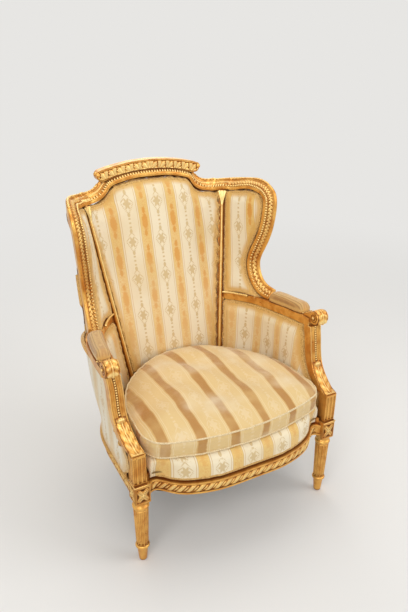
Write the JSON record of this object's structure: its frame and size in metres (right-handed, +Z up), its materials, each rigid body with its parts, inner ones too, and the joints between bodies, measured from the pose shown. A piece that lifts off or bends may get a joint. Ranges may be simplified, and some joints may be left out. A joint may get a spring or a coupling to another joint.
{
  "type": "wing bergere armchair",
  "caption": "Gilded wing bergere with a carved frame, fluted legs, scrolled arms, striped silk upholstery and a loose seat cushion.",
  "frame": {"origin": "on the floor under the middle of the chair's outer box", "axes": "+Z up, the chair faces -Y, +X to the right for someone who faces the chair"},
  "size_m": [0.748, 0.7531, 1.048],
  "materials": {
    "gilt_wood": "satin",
    "bare_beech": "matte",
    "striped_silk": "satin",
    "cushion_silk": "satin",
    "arm_pad_silk": "satin",
    "webbing": "matte",
    "hessian": "matte",
    "bottom_cloth": "matte",
    "stuffing": "matte",
    "screw_steel": "satin"
  },
  "bodies": {
    "chair_frame": {"arm_pad_left": "arm_pad_silk", "arm_pad_right": "arm_pad_silk", "arm_rail_left": "gilt_wood", "arm_rail_right": "gilt_wood", "arm_support_left": "gilt_wood", "arm_support_right": "gilt_wood", "back_cross_rail": "bare_beech", "back_rail": "gilt_wood", "back_webbing": "webbing", "bottom_cloth": "bottom_cloth", "corner_block_left": "bare_beech", "corner_block_right": "bare_beech", "corner_screws": "screw_steel", "crest_rail": "gilt_wood", "front_leg_left": "gilt_wood", "front_leg_right": "gilt_wood", "front_rail": "gilt_wood", "inside_arm_pad_left": "striped_silk", "inside_arm_pad_right": "striped_silk", "inside_back_pad": "striped_silk", "inside_wing_pad_left": "striped_silk", "inside_wing_pad_right": "striped_silk", "joint_pegs": "bare_beech", "outside_arm_panel_left": "striped_silk", "outside_arm_panel_right": "striped_silk", "outside_back_panel": "striped_silk", "outside_wing_panel_left": "striped_silk", "outside_wing_panel_right": "striped_silk", "rear_leg_left": "gilt_wood", "rear_leg_right": "gilt_wood", "seat_front_roll": "striped_silk", "seat_hessian": "hessian", "seat_platform": "striped_silk", "seat_webbing": "webbing", "side_rail_left": "gilt_wood", "side_rail_right": "gilt_wood", "wing_frame_left": "gilt_wood", "wing_frame_right": "gilt_wood"},
    "seat_cushion": {"cushion_border": "cushion_silk", "cushion_bottom_panel": "cushion_silk", "cushion_filling": "stuffing", "cushion_top_panel": "cushion_silk"}
  },
  "joints": [
    {"name": "cushion_lift", "type": "slide", "parent": "chair_frame", "child": "seat_cushion", "axis": [0, 0, 1], "range_m": [0, 0.72]}
  ]
}
